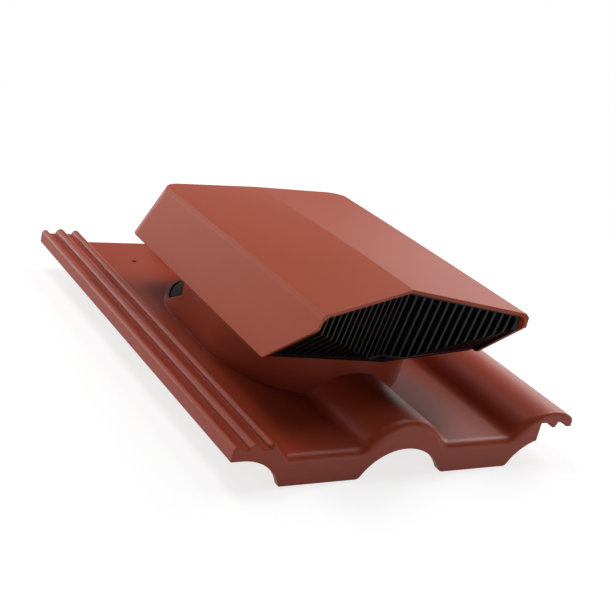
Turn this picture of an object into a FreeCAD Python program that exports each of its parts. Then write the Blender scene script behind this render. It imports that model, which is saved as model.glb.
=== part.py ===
import FreeCAD
import Part
import Sketcher
import math
import os

# Roof tile vent: a double-roll roof tile with a raised neck, a hood over the neck,
# a slatted air outlet at the front and a duct that goes down through the tile.
# Millimetres. X runs across the roof, Y up the slope, Z away from the tile.
# The origin is under the middle of the tile, level with the bottom of its front nose.

SIZES = {
    # tile, overall
    "tile_length": 420,
    "tile_width": 330,
    "side_lap": 30,
    "skin": 3,
    # rolls and pans, seen from the front
    "roll_overhang": 22,
    "pan_top": 25,
    "crown_top": 48,
    "crown_radius": 45,
    "foot_radius": 12,
    # deep front nose
    "nose_thick": 6,
    "nose_arch_top": 24.4,
    "nose_arch_radius": 45,
    "nose_corner_radius": 5,
    "nose_round": 3.5,
    "nose_side_flat": 10.5,
    "nose_side_radius": 38,
    # ribbed lock on the left side
    "lock_width": 50.4,
    "lock_base": 24.5,
    "lock_floor": 33,
    "lock_foot_radius": 6,
    "outer_rib_radius": 3.4,
    "middle_rib_radius": 4.8,
    "middle_rib_at": 18.7,
    "inner_rib_radius": 3.8,
    "inner_rib_at": 34.5,
    # covering lock on the right side
    "cover_gap": 5,
    "groove_top": 39,
    "lip_base": 34.3,
    "lip_width": 5,
    "tooth_width": 3,
    "tooth_flare": 2,
    # hanging nibs and nail holes
    "nib_apart": 108,
    "nib_thick": 12,
    "nib_setback": 14,
    "nail_hole": 5,
    "nail_from_roll": 78.5,
    "nail_setback": 48,
    # neck on the tile
    "neck_radius": 93,
    "neck_wall": 3,
    "kerb_rise": 3,
    "neck_front_centre": -33,
    "neck_rear_centre": 35,
    "neck_step_at": 28,
    "neck_step_top": 48.5,
    "neck_slope_end": 62,
    "neck_slope_base": 30,
    "neck_kerb_top": 27,
    # hood; its shoulders and ridge are heights above its lower edge
    "hood_base": 73.3,
    "hood_half_base": 108.2,
    "hood_half_top": 100,
    "hood_wall": 3,
    "hood_front": -200,
    "hood_middle": -45,
    "hood_rear_base": 127.5,
    "hood_rear_top": 98.5,
    "shoulder_front": 60.3,
    "shoulder_middle": 58.2,
    "shoulder_rear": 54.5,
    "ridge_front": 68,
    "ridge_middle": 65,
    "ridge_rear": 54.6,
    "shoulder_bevel": 3,
    "rear_corner_radius": 20,
    "plan_margin": 0.1,
    # slanted front opening of the hood
    "brow_apex": -152.2,
    "brow_sweep": 0.32,
    "brow_rake": 0.2046,
    "cheek_foot": -142,
    "cheek_rake": 1.09,
    # slats
    "slat_count": 29,
    "slat_margin": 13.42,
    "slat_thick": 1.8,
    "slat_depth": 26,
    "slat_recess": 3,
    "slat_sweep": 0.3,
    "sill_front": -152.5,
    "sill_sweep": 0.16,
    "sill_rake": 1.116,
    "strip_thick": 2.5,
    "frame_wall": 2,
    "grille_gap": 0.4,
    # floor of the hood and the duct below it
    "floor_drop": 1.8,
    "floor_thick": 3,
    "floor_gap": 0.3,
    "duct_gap": 0.5,
    "duct_wall": 2.5,
    "duct_base": 14,
    "duct_bend": 27,
    "duct_top_centre": -10,
    "hook_length": 16,
    "hook_reach": 4,
    "hook_thick": 3,
    "hook_gap": 0.3,
    # screws and their posts in the hood
    "screw_diameter": 3.5,
    "screw_grip": 11,
    "screw_head": 7,
    "screw_head_thick": 2.4,
    "screw_across": 90,
    "screw_front": -107,
    "screw_rear": 68,
    "screw_gap": 0.1,
    "screw_end_gap": 1,
    "post_diameter": 10,
}

doc = FreeCAD.newDocument("roof_tile_vent")
sheet = doc.addObject("Spreadsheet::Sheet", "Sizes")
for row, (name, number) in enumerate(SIZES.items(), start=1):
    sheet.set(f"A{row}", name)
    sheet.set(f"B{row}", str(number))
    sheet.setAlias(f"B{row}", name)
doc.recompute()


class Size:
    """A number with the expression that ties it to the sheet."""

    def __init__(self, number, text):
        self.number = number
        self.text = text

    def joined(self, sign, other, number):
        return Size(number, f"({self.text} {sign} {other.text})")

    def __add__(self, other):
        other = as_size(other)
        return self.joined("+", other, self.number + other.number)

    def __sub__(self, other):
        other = as_size(other)
        return self.joined("-", other, self.number - other.number)

    def __mul__(self, other):
        other = as_size(other)
        return self.joined("*", other, self.number * other.number)

    def __truediv__(self, other):
        other = as_size(other)
        return self.joined("/", other, self.number / other.number)

    def __neg__(self):
        return Size(-self.number, f"(0 - {self.text})")


def as_size(item):
    if isinstance(item, Size):
        return item
    return Size(float(item), str(item))


class Sheet:
    """Reads a cell of the sheet by its name."""

    def __getattr__(self, name):
        return Size(float(sheet.get(name)), f"Sizes.{name}")


s = Sheet()


def bind(thing, name, size):
    thing.setExpression(name, as_size(size).text)


def new_body(name):
    body = doc.addObject("PartDesign::Body", name)
    body.AllowCompound = True
    return body


def new_sketch(body, name, role, offset=None):
    """A sketch on one of the body's own planes, moved along that plane's normal."""
    plane = next(item for item in body.Origin.OriginFeatures if item.Role == role)
    sketch = body.newObject("Sketcher::SketchObject", name)
    sketch.AttachmentSupport = [(plane, "")]
    sketch.MapMode = "FlatFace"
    if offset is not None:
        bind(sketch, "AttachmentOffset.Base.z", offset)
    return sketch


def dimension(sketch, kind, where, size):
    index = sketch.addConstraint(Sketcher.Constraint(kind, *where, as_size(size).number))
    bind(sketch, f"Constraints[{index}]", size)


def fix(sketch, where, across=None, up=None):
    if across is not None:
        dimension(sketch, "DistanceX", where, across)
    if up is not None:
        dimension(sketch, "DistanceY", where, up)


def relate(sketch, kind, *where):
    sketch.addConstraint(Sketcher.Constraint(kind, *where))


def point(across, up):
    return FreeCAD.Vector(across, up, 0)


def add_line(sketch, start, end):
    return sketch.addGeometry(Part.LineSegment(point(*start), point(*end)))


def add_arc(sketch, centre, radius, start, end):
    circle = Part.Circle(point(*centre), FreeCAD.Vector(0, 0, 1), radius)
    return sketch.addGeometry(Part.ArcOfCircle(circle, start, end))


def polygon(sketch, corners, rounds=None):
    """A closed run of lines, anticlockwise, tied to the sheet at its corners; some are rounded."""
    rounds = rounds or {}
    corners = [(as_size(across), as_size(up)) for across, up in corners]
    spots = [point(across.number, up.number) for across, up in corners]
    count = len(spots)
    arrive = list(spots)
    leave = list(spots)
    centres = {}
    for i, radius in rounds.items():
        back = (spots[i - 1] - spots[i]).normalize()
        onward = (spots[(i + 1) % count] - spots[i]).normalize()
        half_angle = back.getAngle(onward) / 2
        arrive[i] = spots[i] + back * (radius.number / math.tan(half_angle))
        leave[i] = spots[i] + onward * (radius.number / math.tan(half_angle))
        centres[i] = spots[i] + (back + onward).normalize() * (radius.number / math.sin(half_angle))
    lines = [
        sketch.addGeometry(Part.LineSegment(leave[i], arrive[(i + 1) % count])) for i in range(count)
    ]
    for i in range(count):
        before = lines[i - 1]
        after = lines[i]
        if i not in rounds:
            relate(sketch, "Coincident", before, 2, after, 1)
            fix(sketch, (after, 1), *corners[i])
            continue
        first = arrive[i] - centres[i]
        last = leave[i] - centres[i]
        start = math.atan2(first.y, first.x)
        turn = first.getAngle(last)
        arc = add_arc(sketch, (centres[i].x, centres[i].y), rounds[i].number, start, start + turn)
        corner = sketch.addGeometry(Part.Point(spots[i]), True)
        fix(sketch, (corner, 1), *corners[i])
        relate(sketch, "PointOnObject", corner, 1, before)
        relate(sketch, "PointOnObject", corner, 1, after)
        relate(sketch, "Tangent", before, 2, arc, 1)
        relate(sketch, "Tangent", arc, 2, after, 1)
        dimension(sketch, "Radius", (arc,), rounds[i])


def circles(sketch, centres, diameter):
    for across, up in centres:
        circle = Part.Circle(
            point(as_size(across).number, as_size(up).number), FreeCAD.Vector(0, 0, 1), diameter.number / 2
        )
        index = sketch.addGeometry(circle)
        fix(sketch, (index, 3), across, up)
        dimension(sketch, "Diameter", (index,), diameter)


def stadium(sketch, middle, front, rear, radius):
    """Two half circles joined by straight sides."""
    left = (middle - radius).number
    right = (middle + radius).number
    near = add_arc(sketch, (middle.number, front.number), radius.number, math.pi, 2 * math.pi)
    far = add_arc(sketch, (middle.number, rear.number), radius.number, 0, math.pi)
    right_side = add_line(sketch, (right, front.number), (right, rear.number))
    left_side = add_line(sketch, (left, rear.number), (left, front.number))
    relate(sketch, "Tangent", near, 2, right_side, 1)
    relate(sketch, "Tangent", right_side, 2, far, 1)
    relate(sketch, "Tangent", far, 2, left_side, 1)
    relate(sketch, "Tangent", left_side, 2, near, 1)
    fix(sketch, (near, 3), middle, front)
    fix(sketch, (far, 3), middle, rear)
    dimension(sketch, "Radius", (near,), radius)


def pad(body, sketch, name, length, reverse=False, both_ways=False):
    feature = body.newObject("PartDesign::Pad", name)
    feature.Profile = sketch
    bind(feature, "Length", length)
    feature.Reversed = reverse
    if both_ways:
        feature.Midplane = True
    doc.recompute()
    return feature


def cut(body, sketch, name, length=None, reverse=False, both_ways=False):
    feature = body.newObject("PartDesign::Pocket", name)
    feature.Profile = sketch
    if length is None:
        feature.Type = "ThroughAll"
    else:
        bind(feature, "Length", length)
    feature.Reversed = reverse
    feature.Midplane = both_ways
    doc.recompute()
    return feature


def loft(body, kind, name, first, others):
    feature = body.newObject(f"PartDesign::{kind}", name)
    feature.Profile = first
    feature.Sections = others
    feature.Ruled = len(others) == 1
    doc.recompute()
    return feature


def round_edges(body, base, name, radius, wanted):
    """Rounds the edges of a feature that pass a test."""
    names = [f"Edge{i}" for i, edge in enumerate(base.Shape.Edges, start=1) if wanted(edge)]
    feature = body.newObject("PartDesign::Fillet", name)
    feature.Base = (base, names)
    bind(feature, "Radius", radius)
    doc.recompute()
    return feature


def middle_of(edge):
    return edge.valueAt((edge.FirstParameter + edge.LastParameter) / 2)


def boolean(kind, name, first, second):
    result = doc.addObject(f"Part::{kind}", name)
    result.Base = first
    result.Tool = second
    doc.recompute()
    return result


# Places shared by several pieces

left_edge = -s.tile_width / 2
right_edge = s.tile_width / 2
front_edge = -s.tile_length / 2
rear_edge = s.tile_length / 2
cover_width = s.tile_width - s.side_lap
roll_pitch = cover_width / 2
roll_2 = right_edge - s.roll_overhang
roll_1 = roll_2 - roll_pitch
floor_base = s.hood_base - s.floor_drop
floor_top = floor_base + s.floor_thick
neck_bore = s.neck_radius - s.neck_wall
duct_outside = neck_bore - s.duct_gap
duct_inside = duct_outside - s.duct_wall
slat_pitch = (s.hood_half_base - s.slat_margin) * 2 / (s.slat_count - 1)
screw_places = [
    (roll_1 + side, along)
    for side in (-s.screw_across, s.screw_across)
    for along in (s.screw_front, s.screw_rear)
]


# Section of the tile

def wave(sketch, start, pan, crown, crown_radius, foot_radius, end):
    """Pan, roll, pan and the start of the second roll, joined smoothly. Gives both ends."""
    big = crown_radius.number
    small = foot_radius.number
    drop = (pan + foot_radius - crown + crown_radius).number
    reach = math.sqrt((big + small) ** 2 - drop ** 2)
    lean = math.atan2(drop, reach)
    crown_up = (crown - crown_radius).number
    foot_up = (pan + foot_radius).number
    pan_up = pan.number
    last = None
    runs = []
    at = start.number
    for roll in (roll_1, roll_2):
        middle = roll.number
        flat = add_line(sketch, (at, pan_up), (middle - reach, pan_up))
        relate(sketch, "Horizontal", flat)
        if last is None:
            fix(sketch, (flat, 1), start, pan)
        else:
            relate(sketch, "Tangent", last, 2, flat, 1)
            fix(sketch, (flat, 1), None, pan)
        near = add_arc(sketch, (middle - reach, foot_up), small, 1.5 * math.pi, 2 * math.pi - lean)
        stop = lean
        if roll is roll_2:
            stop = math.acos((end.number - middle) / big)
        top = add_arc(sketch, (middle, crown_up), big, stop, math.pi - lean)
        relate(sketch, "Tangent", flat, 2, near, 1)
        relate(sketch, "Tangent", near, 2, top, 2)
        dimension(sketch, "Radius", (near,), foot_radius)
        dimension(sketch, "Radius", (top,), crown_radius)
        fix(sketch, (top, 3), roll, crown - crown_radius)
        runs.append((flat, top))
        if roll is roll_1:
            far = add_arc(sketch, (middle + reach, foot_up), small, math.pi + lean, 1.5 * math.pi)
            relate(sketch, "Tangent", top, 1, far, 1)
            dimension(sketch, "Radius", (far,), foot_radius)
            last = far
            at = middle + reach
        else:
            fix(sketch, (top, 1), end, None)
    end_up = crown_up + math.sqrt(big ** 2 - (end.number - roll_2.number) ** 2)
    return (runs[0][0], 1), (runs[1][1], 1), (end.number, end_up)


def open_run(sketch, start, places, end):
    """Straight lines from one fixed place to another; only the inner corners are tied."""
    plain = [(as_size(a).number, as_size(b).number) for a, b in places]
    lines = [add_line(sketch, plain[i], plain[i + 1]) for i in range(len(plain) - 1)]
    for i in range(len(lines) - 1):
        relate(sketch, "Coincident", lines[i], 2, lines[i + 1], 1)
        fix(sketch, (lines[i], 2), *places[i + 1])
    if start is not None:
        relate(sketch, "Coincident", lines[0], 1, *start)
    if end is not None:
        relate(sketch, "Coincident", lines[-1], 2, *end)
    return lines


def ribbed_top(sketch):
    """The three ribs of the left lock and the slope down to the first pan. Gives both ends."""
    floor = s.lock_floor
    outer = add_arc(
        sketch,
        ((left_edge + s.outer_rib_radius).number, floor.number),
        s.outer_rib_radius.number,
        0,
        math.pi,
    )
    middle = add_arc(
        sketch,
        ((left_edge + s.middle_rib_at).number, floor.number),
        s.middle_rib_radius.number,
        0,
        math.pi,
    )
    inner_across = (left_edge + s.inner_rib_at).number
    foot_across = (left_edge + s.lock_width).number
    foot_up = (s.pan_top + s.lock_foot_radius).number
    rib = s.inner_rib_radius.number
    foot = s.lock_foot_radius.number
    apart = math.hypot(foot_across - inner_across, foot_up - floor.number)
    turn = math.atan2(foot_up - floor.number, foot_across - inner_across)
    slope = math.asin((rib + foot) / apart) - turn
    normal = (math.sin(slope), math.cos(slope))
    inner = add_arc(sketch, (inner_across, floor.number), rib, math.pi / 2 - slope, math.pi)
    top_of_slope = (inner_across + rib * normal[0], floor.number + rib * normal[1])
    end_of_slope = (foot_across - foot * normal[0], foot_up - foot * normal[1])
    slant = add_line(sketch, top_of_slope, end_of_slope)
    toe = add_arc(sketch, (foot_across, foot_up), foot, 1.5 * math.pi - slope, 1.5 * math.pi)
    for arc, across, radius in (
        (outer, left_edge + s.outer_rib_radius, s.outer_rib_radius),
        (middle, left_edge + s.middle_rib_at, s.middle_rib_radius),
        (inner, left_edge + s.inner_rib_at, s.inner_rib_radius),
    ):
        fix(sketch, (arc, 3), across, floor)
        dimension(sketch, "Radius", (arc,), radius)
    for before, after in ((outer, middle), (middle, inner)):
        ends = []
        for arc, position in ((before, 1), (after, 2)):
            spot = sketch.getPoint(arc, position)
            ends.append((spot.x, spot.y))
        channel = add_line(sketch, *ends)
        relate(sketch, "Horizontal", channel)
        relate(sketch, "Coincident", before, 1, channel, 1)
        relate(sketch, "Coincident", channel, 2, after, 2)
        fix(sketch, (channel, 1), None, floor)
    relate(sketch, "Tangent", inner, 1, slant, 1)
    relate(sketch, "Tangent", slant, 2, toe, 1)
    dimension(sketch, "Radius", (toe,), s.lock_foot_radius)
    fix(sketch, (outer, 2), None, floor)
    return (outer, 2), (toe, 2), slant, slope, top_of_slope


def covering_lock(sketch, face_top, face_top_at, end, end_at):
    """The lip, tooth and grooves that sit on the next tile's ribs."""
    channel = cover_width + (s.outer_rib_radius * 2 + s.middle_rib_at - s.middle_rib_radius) / 2
    tooth = left_edge + channel
    half = s.tooth_width / 2
    start_at = left_edge + cover_width - s.cover_gap
    places = [
        face_top_at,
        (right_edge, s.lip_base),
        (right_edge - s.lip_width, s.lip_base),
        (right_edge - s.lip_width - s.tooth_flare, s.groove_top),
        (tooth + half + s.tooth_flare, s.groove_top),
        (tooth + half, s.lip_base),
        (tooth - half, s.lip_base),
        (tooth - half - s.tooth_flare, s.groove_top),
        (start_at, s.groove_top),
        end_at,
    ]
    open_run(sketch, face_top, places, end)


def tile_section(sketch, nose):
    """The tile seen from the front: a thin sheet, or the deep nose with the same top."""
    lock_start, toe_end, slant, slope, slope_top = ribbed_top(sketch)
    top_start, top_end, top_end_at = wave(
        sketch, left_edge + s.lock_width, s.pan_top, s.crown_top, s.crown_radius, s.foot_radius, right_edge
    )
    relate(sketch, "Coincident", *toe_end, *top_start)
    start_at = left_edge + cover_width - s.cover_gap
    low_left = (left_edge, s.lock_base)
    face = add_line(sketch, (left_edge.number, s.lock_base.number), (left_edge.number, s.lock_floor.number))
    fix(sketch, (face, 1), *low_left)
    relate(sketch, "Coincident", face, 2, *lock_start)
    if nose:
        side_turn = left_edge + s.nose_side_flat
        low = (s.lock_base - s.nose_side_radius).number
        reach = math.sqrt(s.nose_side_radius.number ** 2 - low ** 2)
        lowest = as_size(0)
        flat = add_line(
            sketch, (left_edge.number, s.lock_base.number), (side_turn.number, s.lock_base.number)
        )
        bend = add_arc(
            sketch, (side_turn.number, low), s.nose_side_radius.number, math.atan2(-low, reach), math.pi / 2
        )
        relate(sketch, "Coincident", face, 1, flat, 1)
        relate(sketch, "Coincident", flat, 2, bend, 2)
        fix(sketch, (flat, 2), side_turn, s.lock_base)
        fix(sketch, (bend, 3), side_turn, None)
        dimension(sketch, "Radius", (bend,), s.nose_side_radius)
        fix(sketch, (bend, 1), None, lowest)
        start = left_edge + s.lock_width
        low_start, low_end, low_end_at = wave(
            sketch, start, lowest, s.nose_arch_top, s.nose_arch_radius, s.nose_corner_radius, start_at
        )
        toe = add_line(sketch, (side_turn.number + reach, 0), (start.number, 0))
        relate(sketch, "Coincident", bend, 1, toe, 1)
        relate(sketch, "Coincident", toe, 2, *low_start)
    else:
        inner_top = s.lock_floor - s.skin
        inner_low = s.pan_top - s.skin
        shift = s.skin.number
        sine = math.sin(slope)
        cosine = math.cos(slope)
        level = slope_top[0] * sine + slope_top[1] * cosine - shift
        high_at = ((level - cosine * inner_top.number) / sine, inner_top.number)
        low_at = ((level - cosine * inner_low.number) / sine, inner_low.number)
        lower_slant = add_line(sketch, high_at, low_at)
        relate(sketch, "Parallel", slant, lower_slant)
        dimension(sketch, "Distance", (lower_slant, 1, slant), s.skin)
        fix(sketch, (lower_slant, 1), None, inner_top)
        fix(sketch, (lower_slant, 2), None, inner_low)
        open_run(
            sketch,
            (face, 1),
            [low_left, (left_edge + s.skin, s.lock_base), (left_edge + s.skin, inner_top), high_at],
            (lower_slant, 1),
        )
        start = left_edge + s.lock_width
        low_start, low_end, low_end_at = wave(
            sketch,
            start,
            inner_low,
            s.crown_top - s.skin,
            s.crown_radius - s.skin,
            s.foot_radius + s.skin,
            start_at,
        )
        flat = add_line(sketch, low_at, (start.number, inner_low.number))
        relate(sketch, "Coincident", lower_slant, 2, flat, 1)
        relate(sketch, "Coincident", flat, 2, *low_start)
    covering_lock(sketch, top_end, top_end_at, low_end, low_end_at)


# Neck: a tall wall in front, and a low kerb that follows the pans and the roll behind

def neck_ring(body, name, height):
    ring = new_sketch(body, f"{name}_outline", "XY_Plane", s.pan_top - s.skin)
    stadium(ring, roll_1, s.neck_front_centre, s.neck_rear_centre, s.neck_radius)
    stadium(ring, roll_1, s.neck_front_centre, s.neck_rear_centre, neck_bore)
    pad(body, ring, name, height - s.pan_top + s.skin)


neck = new_body("neck")
neck_ring(neck, "neck_wall", floor_base)
step = new_sketch(neck, "neck_step", "YZ_Plane")
behind = s.neck_rear_centre + s.neck_radius * 2
polygon(
    step,
    [
        (s.neck_step_at, floor_base * 2),
        (s.neck_step_at, s.neck_step_top),
        (s.neck_slope_end, s.neck_slope_base),
        (behind, s.neck_kerb_top),
        (behind, floor_base * 2),
    ],
)
cut(neck, step, "neck_lowered_at_rear", both_ways=True)

kerb = new_body("kerb")
neck_ring(kerb, "kerb_wall", floor_base)
above = new_sketch(kerb, "above_kerb", "XZ_Plane")
kerb_start, kerb_end, kerb_end_at = wave(
    above,
    left_edge,
    s.pan_top + s.kerb_rise,
    s.crown_top + s.kerb_rise,
    s.crown_radius + s.kerb_rise,
    s.foot_radius - s.kerb_rise,
    right_edge,
)
open_run(
    above,
    kerb_end,
    [
        kerb_end_at,
        (right_edge, floor_base * 2),
        (left_edge, floor_base * 2),
        (left_edge, s.pan_top + s.kerb_rise),
    ],
    kerb_start,
)
cut(kerb, above, "kerb_top", both_ways=True)


# Base tile

tile_body = new_body("tile_body")

sheet_section = new_sketch(tile_body, "sheet_section", "XZ_Plane")
tile_section(sheet_section, False)
pad(tile_body, sheet_section, "tile_sheet", s.tile_length, both_ways=True)

nose_section = new_sketch(tile_body, "nose_section", "XZ_Plane", -front_edge)
tile_section(nose_section, True)
pad(tile_body, nose_section, "front_nose", s.nose_thick, reverse=True)

hole = new_sketch(tile_body, "neck_opening", "XY_Plane")
stadium(hole, roll_1, s.neck_front_centre, s.neck_rear_centre, neck_bore)
cut(tile_body, hole, "opening_in_tile", both_ways=True)

nibs = new_sketch(tile_body, "nib_outlines", "XY_Plane")
nib_half = (roll_pitch - s.nib_apart) / 2
for pan in (roll_1 - roll_pitch / 2, roll_1 + roll_pitch / 2):
    polygon(
        nibs,
        [
            (pan - nib_half, rear_edge - s.nib_setback - s.nib_thick),
            (pan + nib_half, rear_edge - s.nib_setback - s.nib_thick),
            (pan + nib_half, rear_edge - s.nib_setback),
            (pan - nib_half, rear_edge - s.nib_setback),
        ],
    )
pad(tile_body, nibs, "hanging_nibs", s.pan_top - s.skin / 2)

nails = new_sketch(tile_body, "nail_places", "XY_Plane")
nail_row = rear_edge - s.nail_setback
nail_first = roll_1 - s.nail_from_roll
circles(nails, [(nail_first, nail_row), (nail_first + roll_pitch, nail_row)], s.nail_hole)
holes = cut(tile_body, nails, "nail_holes", both_ways=True)


def on_nose_top(edge):
    spot = middle_of(edge)
    pan_start = (left_edge + s.lock_width - s.lock_foot_radius).number
    lock_start = (left_edge + cover_width - s.cover_gap).number
    in_front = all(abs(vertex.Y - front_edge.number) < 0.01 for vertex in edge.Vertexes)
    above_pans = pan_start < spot.x < lock_start - 1 and spot.z > s.pan_top.number - 0.01
    above_lock = lock_start - 1 < spot.x < right_edge.number - 1 and spot.z > s.groove_top.number + 1
    return in_front and (above_pans or above_lock)


tile_body.Tip = round_edges(tile_body, holes, "nose_rounding", s.nose_round, on_nose_top)
neck_and_kerb = boolean("Fuse", "neck_and_kerb", neck, kerb)
tile = boolean("Fuse", "base_tile", tile_body, neck_and_kerb)


# Hood: walls and roof from a loft, rear end from a leaning plan with rounded corners

wall_draft = (s.hood_half_base - s.hood_half_top) / s.shoulder_rear
rear_lean = (s.hood_rear_base - s.hood_rear_top) / s.shoulder_rear
roof_top = s.hood_base + s.ridge_front
ahead = -s.tile_length
astern = s.tile_length
no_slope = as_size(0)


def half_width(rise, inset):
    """Half the hood's width at a height above its lower edge."""
    return s.hood_half_base - wall_draft * rise - inset


def hood_form(name, inset, foot):
    """Walls, bevelled shoulders and roof of the hood, drawn in by an inset, from a foot level up."""
    inset = as_size(inset)
    body = new_body(name)
    stations = []
    for part, along, shoulder, ridge in (
        ("front", s.hood_front, s.shoulder_front, s.ridge_front),
        ("middle", s.hood_middle, s.shoulder_middle, s.ridge_middle),
        ("rear", s.hood_rear_base + s.hood_wall, s.shoulder_rear, s.ridge_rear),
    ):
        section = new_sketch(body, f"{name}_{part}", "XZ_Plane", -along)
        top = shoulder - inset
        wall_top = top - s.shoulder_bevel
        roof_half = half_width(top, inset) - s.shoulder_bevel
        roof_foot = top + (ridge - shoulder) * s.shoulder_bevel / half_width(top, inset)
        half_outline = [
            (half_width(foot - s.hood_base, inset), foot),
            (half_width(wall_top, inset), s.hood_base + wall_top),
            (roof_half, s.hood_base + roof_foot),
        ]
        right_side = [(roll_1 + half, up) for half, up in half_outline]
        left_side = [(roll_1 - half, up) for half, up in reversed(half_outline)]
        polygon(section, right_side + [(roll_1, s.hood_base + ridge - inset)] + left_side)
        stations.append(section)
    loft(body, "AdditiveLoft", f"{name}_loft", stations[0], stations[1:])
    return body


def hood_plan(name, inset):
    """The hood from above, drawn in by an inset: leaning rear wall and rounded rear corners."""
    inset = as_size(inset)
    body = new_body(name)
    low = -s.hood_base / 2
    high = s.ridge_front * 1.2
    across = new_sketch(body, f"{name}_across", "XZ_Plane")
    low_half = half_width(low, inset) + s.plan_margin
    high_half = half_width(high, inset) + s.plan_margin
    polygon(
        across,
        [
            (roll_1 - low_half, s.hood_base + low),
            (roll_1 + low_half, s.hood_base + low),
            (roll_1 + high_half, s.hood_base + high),
            (roll_1 - high_half, s.hood_base + high),
        ],
    )
    pad(body, across, f"{name}_block", s.tile_length * 2, both_ways=True)
    along = new_sketch(body, f"{name}_along", "YZ_Plane")
    rear = s.hood_rear_base - inset
    polygon(
        along,
        [
            (rear - rear_lean * low * 2, s.hood_base + low * 2),
            (astern * 2, s.hood_base + low * 2),
            (astern * 2, s.hood_base + high * 2),
            (rear - rear_lean * high * 2, s.hood_base + high * 2),
        ],
    )
    raked = cut(body, along, f"{name}_rear", both_ways=True)

    def rear_upright(edge):
        low_end, high_end = sorted(vertex.Z for vertex in edge.Vertexes)
        return high_end - low_end > s.hood_base.number and middle_of(edge).y > 0

    body.Tip = round_edges(body, raked, f"{name}_corners", s.rear_corner_radius - inset, rear_upright)
    return body


def wedge(name, apex, sweep, rake, level, far):
    """Everything in front of, or behind, a plane pair that meets on the hood's middle."""
    body = new_body(name)
    half = s.hood_half_base * 1.2
    rows = []
    for part, up in (("low", s.hood_base / 2), ("high", roof_top * 1.2)):
        outline = new_sketch(body, f"{name}_{part}", "XY_Plane", up)
        shift = apex - rake * (up - level)
        side = shift + sweep * half
        polygon(
            outline,
            [
                (roll_1 - half, far),
                (roll_1 + half, far),
                (roll_1 + half, side),
                (roll_1, shift),
                (roll_1 - half, side),
            ],
        )
        rows.append(outline)
    loft(body, "AdditiveLoft", f"{name}_loft", rows[0], rows[1:])
    return body


outer_form = hood_form("hood_outer_form", 0, s.hood_base)
outer_plan = hood_plan("hood_outer_plan", 0)
outer = boolean("Common", "hood_outside", outer_form, outer_plan)
inner_form = hood_form("hood_inner_form", s.hood_wall, s.hood_base * 0.9)
inner_plan = hood_plan("hood_inner_plan", s.hood_wall)
cavity = boolean("Common", "hood_cavity", inner_form, inner_plan)
brow = wedge("brow_cut", s.brow_apex, -s.brow_sweep, s.brow_rake, s.hood_base, ahead)
cheek = wedge("cheek_cut", s.cheek_foot, no_slope, s.cheek_rake, s.hood_base, ahead)
shell = boolean("Cut", "hood_shell", outer, cavity)
shell_brow = boolean("Cut", "hood_with_brow", shell, brow)
shell_open = boolean("Cut", "hood_open", shell_brow, cheek)

posts = new_body("hood_posts")
post_outline = new_sketch(posts, "post_outlines", "XY_Plane", floor_top)
circles(post_outline, screw_places, s.post_diameter)
pad(posts, post_outline, "post_cylinders", roof_top - floor_top)
post_holes = new_sketch(posts, "post_holes", "XY_Plane", floor_top)
circles(post_holes, screw_places, s.screw_diameter + s.screw_gap)
cut(posts, post_holes, "post_bores", s.screw_grip + s.screw_end_gap, reverse=True)
posts_inside = boolean("Common", "posts_inside", outer, posts)
hood = boolean("Fuse", "hood", shell_open, posts_inside)


# Grille

slats = new_body("slats")
strip = new_sketch(slats, "strip_outline", "XY_Plane", floor_top)
wide = s.hood_half_base * 1.2
polygon(
    strip,
    [
        (roll_1 - wide, s.hood_front),
        (roll_1 + wide, s.hood_front),
        (roll_1 + wide, s.hood_middle),
        (roll_1 - wide, s.hood_middle),
    ],
)
pad(slats, strip, "strip", s.strip_thick)
slat = new_sketch(slats, "slat_outline", "XY_Plane", floor_top)
first_slat = roll_1 - slat_pitch * (s.slat_count - 1) / 2
polygon(
    slat,
    [
        (first_slat - s.slat_thick / 2, s.hood_front),
        (first_slat + s.slat_thick / 2, s.hood_front),
        (first_slat + s.slat_thick / 2, s.hood_middle),
        (first_slat - s.slat_thick / 2, s.hood_middle),
    ],
)
one_slat = pad(slats, slat, "one_slat", roof_top - floor_top)
row_of_slats = slats.newObject("PartDesign::LinearPattern", "row_of_slats")
row_of_slats.Originals = [one_slat]
row_of_slats.Direction = (slat, ["H_Axis"])
bind(row_of_slats, "Length", slat_pitch * (s.slat_count - 1))
bind(row_of_slats, "Occurrences", s.slat_count)
slats.Tip = row_of_slats
doc.recompute()

room = hood_form("grille_room", s.hood_wall + s.grille_gap, floor_top)
slat_face = s.brow_apex + s.slat_recess
slat_back = slat_face + s.slat_depth
sill_back = s.sill_front + s.slat_depth
face_cut = wedge("slat_face_cut", slat_face, -s.slat_sweep, s.brow_rake, s.hood_base, ahead)
sill_cut = wedge("sill_cut", s.sill_front, s.sill_sweep, s.sill_rake, floor_base, ahead)
back_upper = wedge("slat_back_upper", slat_back, -s.slat_sweep, s.brow_rake, s.hood_base, astern)
back_lower = wedge("slat_back_lower", sill_back, s.sill_sweep, s.sill_rake, floor_base, astern)
back_cut = boolean("Common", "slat_back_cut", back_upper, back_lower)
room_face = boolean("Cut", "room_behind_face", room, face_cut)
room_deep = boolean("Cut", "room_before_back", room_face, back_cut)
room_sill = boolean("Cut", "room_for_slats", room_deep, sill_cut)
slats_inside = boolean("Common", "slats_inside", room_sill, slats)
frame_inside = hood_form("frame_inside", s.hood_wall + s.grille_gap + s.frame_wall, s.hood_base)
frame_ring = boolean("Cut", "frame_ring", room_deep, frame_inside)
frame_open = boolean("Cut", "frame_open", frame_ring, cheek)
grille = boolean("Fuse", "grille", slats_inside, frame_open)


# Floor of the hood with the duct below it

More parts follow.
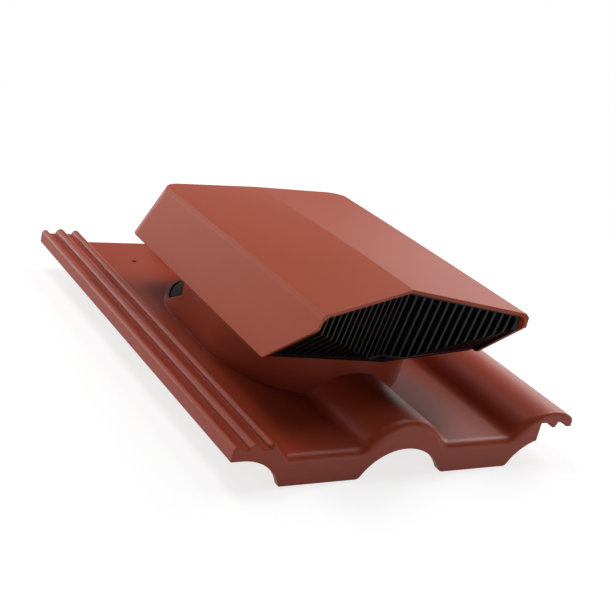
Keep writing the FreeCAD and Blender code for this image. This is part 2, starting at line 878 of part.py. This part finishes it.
duct = new_body("inner_duct")
floor_rise = floor_top - s.hood_base
floor_half = half_width(floor_rise, s.hood_wall + s.floor_gap)
floor_rear = s.hood_rear_base - rear_lean * floor_rise - s.hood_wall - s.floor_gap
floor_side = s.sill_front + s.sill_sweep * floor_half
floor_outline = new_sketch(duct, "floor_outline", "XY_Plane", floor_base)
polygon(
    floor_outline,
    [
        (roll_1 - floor_half, floor_side),
        (roll_1, s.sill_front),
        (roll_1 + floor_half, floor_side),
        (roll_1 + floor_half, floor_rear),
        (roll_1 - floor_half, floor_rear),
    ],
    {3: s.rear_corner_radius, 4: s.rear_corner_radius},
)
pad(duct, floor_outline, "floor", s.floor_thick)


def duct_row(name, up, rear, radius):
    outline = new_sketch(duct, name, "XY_Plane", up)
    stadium(outline, roll_1, s.neck_front_centre, rear, radius)
    return outline


outer_low = duct_row("sleeve_outline", s.duct_base, s.neck_rear_centre, duct_outside)
pad(duct, outer_low, "sleeve", s.duct_bend - s.duct_base)
outer_bend = duct_row("apron_foot", s.duct_bend, s.neck_rear_centre, duct_outside)
outer_top = duct_row("apron_head", floor_base, s.duct_top_centre, duct_outside)
loft(duct, "AdditiveLoft", "sloping_apron", outer_bend, [outer_top])

hook_base = s.pan_top - s.skin - s.hook_gap - s.hook_thick
hooks = new_sketch(duct, "hook_outlines", "XY_Plane", hook_base)
for side in (-1, 1):
    wall = roll_1 + (duct_outside - s.duct_wall / 2) * side
    tip = roll_1 + (s.neck_radius + s.hook_reach) * side
    polygon(
        hooks,
        [
            (wall, -s.hook_length / 2),
            (tip, -s.hook_length / 2),
            (tip, s.hook_length / 2),
            (wall, s.hook_length / 2),
        ],
    )
pad(duct, hooks, "hooks_under_tile", s.hook_thick)

inner_bend = duct_row("apron_inside_foot", s.duct_bend, s.neck_rear_centre, duct_inside)
inner_top = duct_row("apron_inside_head", floor_base, s.duct_top_centre, duct_inside)
loft(duct, "SubtractiveLoft", "apron_hollow", inner_bend, [inner_top])
lower_bore = duct_row("sleeve_inside", s.duct_bend, s.neck_rear_centre, duct_inside)
cut(duct, lower_bore, "sleeve_hollow", s.duct_bend - s.duct_base)
floor_bore = duct_row("floor_opening", floor_base, s.duct_top_centre, duct_inside)
cut(duct, floor_bore, "floor_hole", s.floor_thick, reverse=True)
floor_holes = new_sketch(duct, "floor_screw_holes", "XY_Plane", floor_base)
circles(floor_holes, screw_places, s.screw_diameter + s.screw_gap)
duct.Tip = cut(duct, floor_holes, "screw_holes", s.floor_thick, reverse=True)


# Screws from below, through the floor into the posts

screws = new_body("hood_screws")
heads = new_sketch(screws, "head_outlines", "XY_Plane", floor_base - s.screw_head_thick)
circles(heads, screw_places, s.screw_head)
head_pad = pad(screws, heads, "heads", s.screw_head_thick)
shanks = new_sketch(screws, "shank_outlines", "XY_Plane", floor_base)
circles(shanks, screw_places, s.screw_diameter)
screws.Tip = pad(screws, shanks, "shanks", s.floor_thick + s.screw_grip)

doc.recompute()

# One file for each piece

for item in doc.Objects:
    if "Invalid" in item.State or "Error" in item.State:
        raise RuntimeError(f"{item.Name} did not compute")

os.makedirs("parts", exist_ok=True)
for piece in (tile, hood, grille, duct, screws):
    if piece.Shape.isNull() or not piece.Shape.isValid():
        raise RuntimeError(f"{piece.Label} has no sound shape")
    piece.Shape.exportStep(f"parts/{piece.Label}.step")
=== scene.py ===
import math

import bpy
from mathutils import Matrix, Vector


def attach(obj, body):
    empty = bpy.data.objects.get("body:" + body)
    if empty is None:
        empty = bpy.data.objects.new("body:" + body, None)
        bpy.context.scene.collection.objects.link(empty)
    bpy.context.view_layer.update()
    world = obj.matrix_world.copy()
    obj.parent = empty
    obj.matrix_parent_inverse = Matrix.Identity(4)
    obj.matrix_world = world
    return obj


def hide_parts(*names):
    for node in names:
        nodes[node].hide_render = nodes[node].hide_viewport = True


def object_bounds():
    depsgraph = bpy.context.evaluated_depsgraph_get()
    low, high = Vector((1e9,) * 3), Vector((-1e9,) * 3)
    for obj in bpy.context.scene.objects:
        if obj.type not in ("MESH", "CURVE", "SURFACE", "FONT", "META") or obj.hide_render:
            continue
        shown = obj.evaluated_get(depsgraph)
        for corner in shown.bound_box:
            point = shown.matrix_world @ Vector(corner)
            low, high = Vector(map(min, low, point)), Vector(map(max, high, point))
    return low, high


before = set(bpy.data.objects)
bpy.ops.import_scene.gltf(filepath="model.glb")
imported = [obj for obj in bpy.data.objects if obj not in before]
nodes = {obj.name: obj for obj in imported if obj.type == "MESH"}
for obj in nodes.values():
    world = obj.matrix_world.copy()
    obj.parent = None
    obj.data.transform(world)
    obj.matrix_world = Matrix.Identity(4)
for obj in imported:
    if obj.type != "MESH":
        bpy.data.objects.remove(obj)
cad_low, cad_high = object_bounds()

scene = bpy.context.scene
WHITE = (1.0, 1.0, 1.0, 1.0)


# Tile with a rounder front edge than the solid's. The sizes are the tile's own, in metres.

FRONT = cad_low[1]
SOLID_ROUND = 0.0035
FULL_ROUND = 0.008
SLACK = 0.00002
PAN_TOP = 0.025
PAN_START = -0.1146
TOE_RADIUS = 0.006
TOE_TURN = math.radians(44.9)
TOE = Vector((PAN_START, PAN_TOP + TOE_RADIUS))
ROLLS = (-0.007, 0.143)
CROWN_TOP = 0.048
CROWN_RADIUS = 0.045
FOOT_RADIUS = 0.012
FOOT_DROP = PAN_TOP + FOOT_RADIUS - CROWN_TOP + CROWN_RADIUS
FOOT_REACH = math.sqrt((CROWN_RADIUS + FOOT_RADIUS) ** 2 - FOOT_DROP ** 2)
FOOT_LEAN = math.atan2(FOOT_DROP, FOOT_REACH)
THIN_FROM = 0.115
THIN_TO = 0.136


def under_hollow(point, centre, radius):
    """Depth of a point under a hollow arc, and the way up from it."""
    way = centre - point
    return way.length - radius, way.normalized()


def under_crown(point, centre, radius):
    """Depth of a point under a crowned arc, and the way up from it."""
    way = point - centre
    return radius - way.length, way.normalized()


def under_top(point):
    """Depth of a point of the nose under the tile's top, and the way up from it, seen from the front."""
    if point.x < PAN_START:
        return under_hollow(point, TOE, TOE_RADIUS)
    roll = min(ROLLS, key=lambda middle: abs(point.x - middle))
    side = point.x - roll
    if abs(side) >= FOOT_REACH:
        return PAN_TOP - point.y, Vector((0.0, 1.0))
    crown = Vector((roll, CROWN_TOP - CROWN_RADIUS))
    if math.atan2(point.y - crown.y, abs(side)) >= FOOT_LEAN:
        return under_crown(point, crown, CROWN_RADIUS)
    foot = Vector((roll + math.copysign(FOOT_REACH, side), PAN_TOP + FOOT_RADIUS))
    return under_hollow(point, foot, FOOT_RADIUS)


def rounding_share(point):
    """Share of the extra rounding: all on pans and rolls, none on the ribs and the thin covering lock."""
    if point.x < PAN_START:
        turn = math.atan2(TOE.x - point.x, TOE.y - point.y)
        return 1.0 - min(1.0, turn / TOE_TURN)
    return min(1.0, max(0.0, (THIN_TO - point.x) / (THIN_TO - THIN_FROM)))


def round_nose(mesh):
    """Grows the rounding of the upper front edge by moving the points that lie on it."""
    for vertex in mesh.vertices:
        behind = vertex.co.y - FRONT
        if behind > SOLID_ROUND + SLACK:
            continue
        point = vertex.co.xz
        depth, way = under_top(point)
        if -SLACK < depth < SOLID_ROUND + SLACK:
            growth = (FULL_ROUND / SOLID_ROUND - 1.0) * rounding_share(point)
            vertex.co.x -= way.x * depth * growth
            vertex.co.z -= way.y * depth * growth
            vertex.co.y += behind * growth


tile = nodes["base_tile"].copy()
tile.data = nodes["base_tile"].data.copy()
tile.name = "tile_with_round_nose"
scene.collection.objects.link(tile)
round_nose(tile.data)
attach(tile, "root")
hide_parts("base_tile")


# Materials

TONE_SCALE = 14.0
TONE_DETAIL = 3.0
GRAIN_SCALE = 1400.0
GRAIN_DETAIL = 2.0
GRAIN_DEPTH = 0.0002
EDGE_RADIUS = 0.0009
EDGE_SAMPLES = 6


def new_material(name):
    """A material with nodes, its node tree and its shader."""
    material = bpy.data.materials.new(name)
    material.use_nodes = True
    tree = material.node_tree
    return material, tree, tree.nodes["Principled BSDF"]


def noise(tree, scale, detail):
    """Noise that is fixed to the piece."""
    place = tree.nodes.new("ShaderNodeTexCoord")
    pattern = tree.nodes.new("ShaderNodeTexNoise")
    pattern.inputs["Scale"].default_value = scale
    pattern.inputs["Detail"].default_value = detail
    tree.links.new(place.outputs["Object"], pattern.inputs["Vector"])
    return pattern.outputs["Fac"]


def moulded_plastic(name, colour, roughness, specular, grain, tone):
    """Moulded plastic with a faint tone change, a fine surface grain and softened edges."""
    material, tree, shader = new_material(name)
    mix = tree.nodes.new("ShaderNodeMix")
    mix.data_type = "RGBA"
    mix.inputs["A"].default_value = (*[channel * (1 - tone) for channel in colour], 1.0)
    mix.inputs["B"].default_value = (*[channel * (1 + tone) for channel in colour], 1.0)
    tree.links.new(noise(tree, TONE_SCALE, TONE_DETAIL), mix.inputs["Factor"])
    tree.links.new(mix.outputs["Result"], shader.inputs["Base Color"])
    soft_edge = tree.nodes.new("ShaderNodeBevel")
    soft_edge.samples = EDGE_SAMPLES
    soft_edge.inputs["Radius"].default_value = EDGE_RADIUS
    bump = tree.nodes.new("ShaderNodeBump")
    bump.inputs["Strength"].default_value = grain
    bump.inputs["Distance"].default_value = GRAIN_DEPTH
    tree.links.new(noise(tree, GRAIN_SCALE, GRAIN_DETAIL), bump.inputs["Height"])
    tree.links.new(soft_edge.outputs["Normal"], bump.inputs["Normal"])
    tree.links.new(bump.outputs["Normal"], shader.inputs["Normal"])
    shader.inputs["Roughness"].default_value = roughness
    shader.inputs["Specular IOR Level"].default_value = specular
    return material


def plated_steel(name):
    """Plain plated steel."""
    material, _, shader = new_material(name)
    shader.inputs["Base Color"].default_value = (0.55, 0.55, 0.55, 1.0)
    shader.inputs["Metallic"].default_value = 1.0
    shader.inputs["Roughness"].default_value = 0.35
    return material


tile_red = moulded_plastic(
    "tile_red_plastic", colour=(0.33, 0.04, 0.013),
    roughness=0.45, specular=0.36, grain=0.02, tone=0.05,
)
hood_red = moulded_plastic(
    "hood_red_plastic", colour=(0.385, 0.056, 0.017),
    roughness=0.48, specular=0.35, grain=0.04, tone=0.04,
)
grille_black = moulded_plastic(
    "grille_black_plastic", colour=(0.006, 0.006, 0.006),
    roughness=0.45, specular=0.27, grain=0.04, tone=0.02,
)
duct_black = moulded_plastic(
    "duct_black_plastic", colour=(0.004, 0.004, 0.004),
    roughness=0.65, specular=0.05, grain=0.04, tone=0.02,
)
screw_steel = plated_steel("screw_plating")

for piece, material, slot in (
    (tile, tile_red, "tile_red"),
    (nodes["hood"], hood_red, "hood_red"),
    (nodes["grille"], grille_black, "grille_black"),
    (nodes["inner_duct"], duct_black, "duct_black"),
    (nodes["hood_screws"], screw_steel, "screw_steel"),
):
    piece.data.materials.clear()
    piece.data.materials.append(material)


# Floor and backdrop: white to the eye and in reflections, with the object's shadow kept close to it

FLOOR_SIZE = 16.0
FLOOR_DROP = 0.0005
BACKDROP_RADIUS = 7.5
BACKDROP_HEIGHT = 2.2
BACKDROP_SIDES = 64
PAPER_COLOUR = (0.85, 0.85, 0.85, 1.0)
SHADOW_GLOW = 0.77
SHADOW_COLOUR = (0.34, 0.34, 0.34, 1.0)
SHADOW_FADES_FROM = 0.35
SHADOW_FADES_TO = 0.9


def seen_directly(tree):
    """1 for a ray from the camera, through glass or off a glossy face, and 0 for the rest."""
    ray = tree.nodes.new("ShaderNodeLightPath")
    mirrored = tree.nodes.new("ShaderNodeMath")
    mirrored.operation = "MAXIMUM"
    tree.links.new(ray.outputs["Is Glossy Ray"], mirrored.inputs[0])
    tree.links.new(ray.outputs["Is Transmission Ray"], mirrored.inputs[1])
    either = tree.nodes.new("ShaderNodeMath")
    either.operation = "MAXIMUM"
    tree.links.new(ray.outputs["Is Camera Ray"], either.inputs[0])
    tree.links.new(mirrored.outputs["Value"], either.inputs[1])
    return either.outputs["Value"]


def white_glow(tree, strength):
    """White that needs no lamp."""
    glow = tree.nodes.new("ShaderNodeEmission")
    glow.inputs["Color"].default_value = WHITE
    glow.inputs["Strength"].default_value = strength
    return glow.outputs["Emission"]


def mixed(tree, factor, first, second):
    """The first shader where the factor is 0 and the second where it is 1."""
    mix = tree.nodes.new("ShaderNodeMixShader")
    tree.links.new(factor, mix.inputs["Fac"])
    tree.links.new(first, mix.inputs[1])
    tree.links.new(second, mix.inputs[2])
    return mix.outputs["Shader"]


def distance_fade(tree):
    """0 near the object, rising to 1 away from it."""
    spot = tree.nodes.new("ShaderNodeNewGeometry")
    away = tree.nodes.new("ShaderNodeVectorMath")
    away.operation = "LENGTH"
    tree.links.new(spot.outputs["Position"], away.inputs[0])
    fade = tree.nodes.new("ShaderNodeMapRange")
    fade.inputs["From Min"].default_value = SHADOW_FADES_FROM
    fade.inputs["From Max"].default_value = SHADOW_FADES_TO
    tree.links.new(away.outputs["Value"], fade.inputs["Value"])
    return fade.outputs["Result"]


def studio_paper(name):
    """Pale paper for the light that it sends back, and white paper with a faint shadow for the eye."""
    material, tree, paper = new_material(name)
    paper.inputs["Base Color"].default_value = PAPER_COLOUR
    paper.inputs["Roughness"].default_value = 1.0
    paper.inputs["Specular IOR Level"].default_value = 0.0
    shade = tree.nodes.new("ShaderNodeBsdfDiffuse")
    shade.inputs["Color"].default_value = SHADOW_COLOUR
    near = tree.nodes.new("ShaderNodeAddShader")
    tree.links.new(shade.outputs["BSDF"], near.inputs[0])
    tree.links.new(white_glow(tree, SHADOW_GLOW), near.inputs[1])
    look = mixed(tree, distance_fade(tree), near.outputs["Shader"], white_glow(tree, 1.0))
    surface = mixed(tree, seen_directly(tree), paper.outputs["BSDF"], look)
    tree.links.new(surface, tree.nodes["Material Output"].inputs["Surface"])
    return material


floor_paint = studio_paper("floor_paint")

bpy.ops.mesh.primitive_plane_add(size=FLOOR_SIZE, location=(0.0, 0.0, -FLOOR_DROP))
floor = bpy.context.object
floor.name = "floor"
floor.data.materials.append(floor_paint)

bpy.ops.mesh.primitive_cylinder_add(
    vertices=BACKDROP_SIDES, radius=BACKDROP_RADIUS, depth=BACKDROP_HEIGHT,
    end_fill_type="NOTHING", location=(0.0, 0.0, BACKDROP_HEIGHT / 2),
)
backdrop = bpy.context.object
backdrop.name = "backdrop"
backdrop.data.materials.append(floor_paint)


# Light

FILL_STRENGTH = 0.02
LAMP_AIM = Vector((0.0, 0.0, 0.07))
LAMP_DISTANCE = 2.0
LAMP_SIZE = 0.7

world = bpy.data.worlds.new("studio")
world.use_nodes = True
fill = world.node_tree.nodes["Background"]
fill.inputs["Color"].default_value = WHITE
fill.inputs["Strength"].default_value = FILL_STRENGTH
scene.world = world


def softbox(name, azimuth, elevation, power):
    """A square lamp at an angle from +X towards +Y and an angle above the floor, in degrees and watts."""
    turn = math.radians(azimuth)
    rise = math.radians(elevation)
    way = Vector((math.cos(turn) * math.cos(rise), math.sin(turn) * math.cos(rise), math.sin(rise)))
    data = bpy.data.lights.new(name, "AREA")
    data.shape = "SQUARE"
    data.size = LAMP_SIZE
    data.energy = power
    lamp = bpy.data.objects.new(name, data)
    lamp.location = LAMP_AIM + way * LAMP_DISTANCE
    lamp.rotation_mode = "QUATERNION"
    lamp.rotation_quaternion = (-way).to_track_quat("-Z", "Y")
    lamp.visible_camera = False
    scene.collection.objects.link(lamp)


softbox("right_high", 0, 62, 10)
softbox("right_middle", 20, 42, 9)
softbox("right", 20, 25, 9)
softbox("rear_right_low", 40, 10, 2)
softbox("rear", 100, 25, 4)
softbox("rear_left_high", 120, 62, 12)
softbox("rear_left_low", 120, 10, 11)
softbox("left_high", 160, 62, 4)
softbox("left_low", 180, 10, 5)
softbox("front_right_low", 300, 10, 4)


# Camera at the photograph's place, as solved from the tile's straight edges

CAMERA_PLACE = Vector((-0.5944, -0.8664, 0.4502))
CAMERA_RIGHT = Vector((0.8424, -0.4899, 0.2242))
CAMERA_FORWARD = Vector((0.5388, 0.7645, -0.3539))
FOCAL_PIXELS = 1234.7
PHOTO_PIXELS = 616
SENSOR_WIDTH = 36.0
NEAREST = 0.01
FARTHEST = 50.0

forward = CAMERA_FORWARD.normalized()
upward = CAMERA_RIGHT.cross(forward).normalized()
right = forward.cross(upward).normalized()
lens = bpy.data.cameras.new("camera")
lens.sensor_width = SENSOR_WIDTH
lens.lens = FOCAL_PIXELS / PHOTO_PIXELS * SENSOR_WIDTH
lens.clip_start = NEAREST
lens.clip_end = FARTHEST
camera = bpy.data.objects.new("camera", lens)
aim = Matrix((right, upward, -forward)).transposed()
camera.matrix_world = Matrix.Translation(CAMERA_PLACE) @ aim.to_4x4()
scene.collection.objects.link(camera)
scene.camera = camera

scene.view_settings.view_transform = "Standard"
